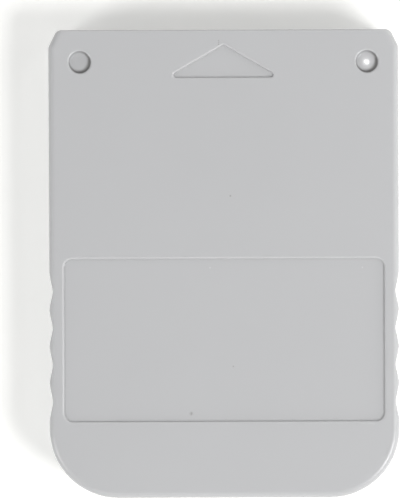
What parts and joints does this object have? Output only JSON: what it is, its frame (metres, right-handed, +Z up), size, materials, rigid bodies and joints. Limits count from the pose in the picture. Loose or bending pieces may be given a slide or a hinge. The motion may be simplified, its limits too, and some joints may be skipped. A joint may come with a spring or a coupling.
{
  "type": "console memory card",
  "caption": "Flat grey moulded card for a games console, with wavy finger grips, a label recess, an arrow to the insertion end and a connector mouth over a small circuit board.",
  "frame": {"origin": "middle of the back face, on which the card lies", "axes": "+X to the right and +Y to the nose, the end that goes into the console, seen from the front; +Z up from the back face to the labelled front"},
  "size_m": [0.042, 0.056, 0.008],
  "materials": {
    "case_plastic": "matte",
    "board_laminate": "satin",
    "contact_gold": "satin",
    "screw_steel": "satin",
    "tinned_leads": "satin",
    "chip_epoxy": "matte",
    "resonator_ceramic": "satin",
    "tantalum_resin": "satin",
    "capacitor_ceramic": "satin",
    "resistor_ceramic": "satin"
  },
  "bodies": {
    "root": {"back_shell": "case_plastic", "case_screw": "screw_steel", "ceramic_resonator": "resonator_ceramic", "chip_capacitor_1": "capacitor_ceramic", "chip_capacitor_2": "capacitor_ceramic", "chip_capacitor_3": "capacitor_ceramic", "chip_capacitor_4": "capacitor_ceramic", "chip_capacitor_5": "capacitor_ceramic", "chip_capacitor_6": "capacitor_ceramic", "chip_resistor_1": "resistor_ceramic", "chip_resistor_2": "resistor_ceramic", "chip_resistor_3": "resistor_ceramic", "chip_resistor_4": "resistor_ceramic", "chip_resistor_5": "resistor_ceramic", "circuit_board": "board_laminate", "contact_finger_1": "contact_gold", "contact_finger_2": "contact_gold", "contact_finger_3": "contact_gold", "contact_finger_4": "contact_gold", "contact_finger_5": "contact_gold", "contact_finger_6": "contact_gold", "contact_finger_7": "contact_gold", "contact_finger_8": "contact_gold", "controller_chip_body": "chip_epoxy", "controller_chip_leads": "tinned_leads", "front_shell": "case_plastic", "memory_chip_body": "chip_epoxy", "memory_chip_leads": "tinned_leads", "tantalum_capacitor": "tantalum_resin", "voltage_detector_body": "chip_epoxy", "voltage_detector_leads": "tinned_leads"}
  },
  "joints": []
}
